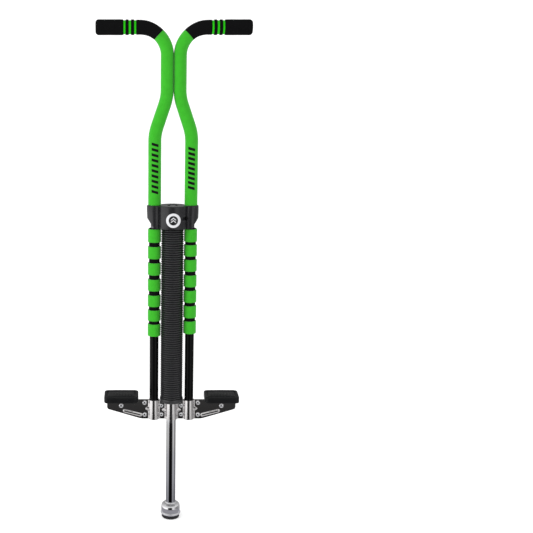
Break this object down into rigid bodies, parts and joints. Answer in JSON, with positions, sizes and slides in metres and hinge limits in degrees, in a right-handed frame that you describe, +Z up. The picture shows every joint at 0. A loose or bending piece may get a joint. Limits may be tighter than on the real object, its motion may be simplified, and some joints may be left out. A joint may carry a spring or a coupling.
{
  "type": "pogo stick",
  "caption": "Pogo stick with foam-covered handles, a moulded collar, a corrugated spring cover, twin side tubes, foot pegs on a pressed bracket and a sprung plunger with a rubber tip.",
  "frame": {"origin": "centre of the rubber tip's sole, which is the bottom centre of the whole stick", "axes": "+Z up along the plunger, +X along the right-hand grip and peg, -Y out of the front, the side that the rider's collar badge faces"},
  "size_m": [0.33, 0.066, 1.1232],
  "materials": {
    "green_foam": "fine-grained closed-cell foam, bright green, matte",
    "black_foam": "fine-grained closed-cell foam, black, matte",
    "satin_black_plastic": "moulded black nylon, satin, fine texture",
    "black_rubber": "moulded black rubber, satin",
    "peg_rubber": "moulded black rubber tread, matte",
    "tip_rubber": "black rubber, matte",
    "black_paint": "gloss black powder coat on steel tube",
    "chrome_tube": "polished chrome on steel tube",
    "chrome_plate": "bright chrome on pressed steel",
    "chrome_rivet": "bright domed rivet",
    "zinc_steel": "zinc-plated steel",
    "spring_steel": "oiled spring steel",
    "dark_steel": "dark bright-drawn steel",
    "white_nylon": "natural nylon"
  },
  "bodies": {
    "frame": {"back_plate": "chrome_plate", "bellows": "black_rubber", "bellows_cap": "black_rubber", "bracket_bush": "white_nylon", "collar": "satin_black_plastic", "collar_bolt": "zinc_steel", "collar_pins": "zinc_steel", "collar_washer": "zinc_steel", "frame_rivets": "zinc_steel", "front_plate": "chrome_plate", "guide_rod": "zinc_steel", "inner_rivets": "chrome_rivet", "left_button_leaf": "spring_steel", "left_curved_grip": "black_foam", "left_end_grip": "black_foam", "left_foam_core": "black_foam", "left_foam_rings": "green_foam", "left_frame_tube": "black_paint", "left_grip_rings": "black_foam", "left_handle_sleeve": "green_foam", "left_handle_tube": "chrome_tube", "left_peg_tread": "peg_rubber", "left_spigot_tube": "dark_steel", "left_stripe_sleeve": "green_foam", "main_spring": "spring_steel", "peg_screws": "zinc_steel", "right_button_leaf": "spring_steel", "right_curved_grip": "black_foam", "right_end_grip": "black_foam", "right_foam_core": "black_foam", "right_foam_rings": "green_foam", "right_frame_tube": "black_paint", "right_grip_rings": "black_foam", "right_handle_sleeve": "green_foam", "right_handle_tube": "chrome_tube", "right_peg_tread": "peg_rubber", "right_spigot_tube": "dark_steel", "right_stripe_sleeve": "green_foam", "upper_spring_seat": "white_nylon", "wing_rivets": "chrome_rivet"},
    "spring_carrier": {"lower_spring_seat": "white_nylon"},
    "plunger": {"plunger_tube": "chrome_tube", "plunger_bush": "white_nylon", "stop_collar": "zinc_steel", "stop_screws": "zinc_steel", "foot_cup": "chrome_tube", "rubber_tip": "tip_rubber"},
    "right_button": {"right_snap_button": "satin_black_plastic"},
    "left_button": {"left_snap_button": "satin_black_plastic"}
  },
  "joints": [
    {"name": "plunger_slide", "type": "slide", "parent": "frame", "child": "spring_carrier", "axis": [0, 0, 1], "range_m": [0, 0.12], "stiffness_N_per_m": 12000, "springref_m": -0.02, "deforming": ["main_spring"]},
    {"name": "plunger_spin", "type": "hinge", "parent": "spring_carrier", "child": "plunger", "pos_m": [0, 0, 0.3], "axis": [0, 0, 1], "continuous": true},
    {"name": "right_button_press", "type": "slide", "parent": "frame", "child": "right_button", "axis": [0.5592, 0.829, 0], "range_m": [0, 0.004], "stiffness_N_per_m": 600, "springref_m": -0.004},
    {"name": "left_button_press", "type": "slide", "parent": "frame", "child": "left_button", "axis": [-0.5592, -0.829, 0], "range_m": [0, 0.004], "stiffness_N_per_m": 600, "springref_m": -0.004}
  ]
}
